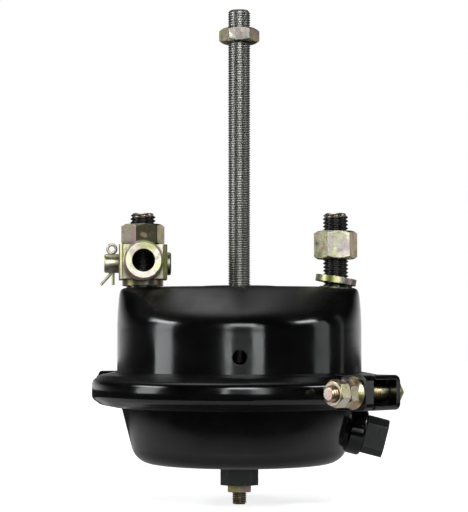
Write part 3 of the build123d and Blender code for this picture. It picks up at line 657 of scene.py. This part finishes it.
# A painted pool of light that only gloss sees on the floor, by the distance from the axis plus this share of
# Y, so it ends sooner in front.
FLOOR_LEAN = -0.5
FLOOR_PAINTED_POOL = (
    (0.1, 0.28),
    (0.13, 0.4),
    (0.16, 0.5),
    (0.178, 0.5),
    (0.187, 0.36),
    (0.197, 0.28),
    (0.208, 0.03),
)
# The floor's own light for the camera: from, to, and its strength at both.
FLOOR_SEEN = (0.22, 0.5, 0.78, 1.0)

# Name, azimuth, elevation, distance, width and height, radiance.
SOFTBOXES = (
    ("softbox_left", -73, 8, 1.3, (0.44, 1.0), 4.4),
    ("softbox_left_high", -80, 30, 1.3, (0.55, 0.2), 10.0),
    ("softbox_right", 81, 8, 1.3, (0.4, 1.0), 1.15),
    ("softbox_right_edge", 108, 8, 1.3, (0.1, 1.0), 0.4),
    ("softbox_right_high", 71, 35, 1.3, (0.45, 0.22), 11.0),
    ("softbox_front", 5, 8, 1.8, (1.15, 1.2), 0.55),
    ("softbox_front_left", -10, 8, 1.6, (0.14, 1.05), 4.2),
    ("softbox_front_right", 16, 8, 1.6, (0.28, 1.05), 3.4),
    ("softbox_front_high", 3, 26, 1.3, (0.5, 0.3), 11.0),
)

# The photograph's camera.
CAMERA_AT = (-0.0033, -1.0, -0.0324)
CAMERA_TILT = math.radians(93.0)
LENS_MM = 112.5
SENSOR_MM = 36.0


def world():
    """White to the camera. Gloss sees a dim room, pale low down at the back, and a patch overhead."""
    w = bpy.data.worlds.new("studio")
    scene.world = w
    w.use_nodes = True
    t = Tree(w.node_tree)
    room = t.tree.nodes["Background"]
    room.inputs["Color"].default_value = WHITE
    white = t.new("Background")
    white.inputs["Color"].default_value = WHITE
    coords = t.new("TexCoord").outputs["Generated"]
    towards = t.new("VectorMath", operation="DOT_PRODUCT")
    towards.inputs[1].default_value = PATCH
    t.link(coords, towards.inputs[0])
    glow = t.new("Math", operation="MULTIPLY_ADD")
    t.link(t.grey(t.part(coords, "Y"), *ROOM_BACK), glow.inputs[0])
    t.link(t.grey(t.part(coords, "Z"), *ROOM_LOW), glow.inputs[1])
    t.link(t.grey(towards.outputs["Value"], *ROOM_PATCH), glow.inputs[2])
    t.link(glow.outputs[0], room.inputs["Strength"])
    mix = t.new("MixShader")
    t.link(t.new("LightPath").outputs["Is Camera Ray"], mix.inputs["Fac"])
    t.link(room.outputs[0], mix.inputs[1])
    t.link(white.outputs[0], mix.inputs[2])
    t.link(mix.outputs[0], t.tree.nodes["World Output"].inputs["Surface"])


def softbox(name, azimuth, elevation, distance, size, radiance):
    """A panel facing the object. Azimuth is degrees from the front, positive to the right."""
    light = bpy.data.lights.new(name, "AREA")
    light.shape = "RECTANGLE"
    light.size, light.size_y = size
    light.color = DAYLIGHT
    light.energy = radiance * size[0] * size[1] * math.pi
    a, e = math.radians(azimuth), math.radians(elevation)
    where = Vector((math.sin(a) * math.cos(e), -math.cos(a) * math.cos(e), math.sin(e))) * distance
    o = bpy.data.objects.new(name, light)
    o.location = where
    o.rotation_euler = (-where).to_track_quat("-Z", "Y").to_euler()
    scene.collection.objects.link(o)


def floor(height):
    """Pale floor. The camera sees it white with a faint shadow, and gloss sees a painted pool of light on it
    near by.
    """
    r = FLOOR_REACH
    corners = [(-r, -r, height), (r, -r, height), (r, r, height), (-r, r, height)]
    mesh = bpy.data.meshes.new("floor")
    mesh.from_pydata(corners, [], [(0, 1, 2, 3)])
    m = bpy.data.materials.new("floor")
    m.use_nodes = True
    t = Tree(m.node_tree)
    paint = t.tree.nodes["Principled BSDF"]
    paint.inputs["Base Color"].default_value = FLOOR_COLOUR
    paint.inputs["Roughness"].default_value = FLOOR_ROUGH
    path = t.new("LightPath")
    place = t.new("TexCoord").outputs["Object"]
    away = t.length_across(place)

    camera_glow = t.new("Emission")
    seen = t.new("Math", operation="MULTIPLY")
    t.link(path.outputs["Is Camera Ray"], seen.inputs[0])
    t.link(t.span(away, *FLOOR_SEEN), seen.inputs[1])
    t.link(seen.outputs[0], camera_glow.inputs["Strength"])
    shade = t.new("AddShader")
    t.link(paint.outputs[0], shade.inputs[0])
    t.link(camera_glow.outputs[0], shade.inputs[1])

    # Painted pool of light, seen only by gloss.
    painted_pool = t.new("Emission")
    ahead = t.new("Math", operation="MULTIPLY_ADD")
    ahead.inputs[1].default_value = FLOOR_LEAN
    t.link(t.part(place, "Y"), ahead.inputs[0])
    t.link(away, ahead.inputs[2])
    t.link(t.grey(ahead.outputs[0], *FLOOR_PAINTED_POOL), painted_pool.inputs["Color"])

    mix = t.new("MixShader")
    t.link(path.outputs["Is Glossy Ray"], mix.inputs["Fac"])
    t.link(shade.outputs[0], mix.inputs[1])
    t.link(painted_pool.outputs[0], mix.inputs[2])
    t.link(mix.outputs[0], t.tree.nodes["Material Output"].inputs["Surface"])
    mesh.materials.append(m)
    o = bpy.data.objects.new("floor", mesh)
    scene.collection.objects.link(o)


world()
for box in SOFTBOXES:
    softbox(*box)
floor(cad_box[0][2])

lens = bpy.data.cameras.new("camera")
lens.lens = LENS_MM
lens.sensor_width = SENSOR_MM
camera = bpy.data.objects.new("camera", lens)
camera.location = CAMERA_AT
camera.rotation_euler = (CAMERA_TILT, 0, 0)
scene.collection.objects.link(camera)
scene.camera = camera
scene.view_settings.view_transform = "Standard"
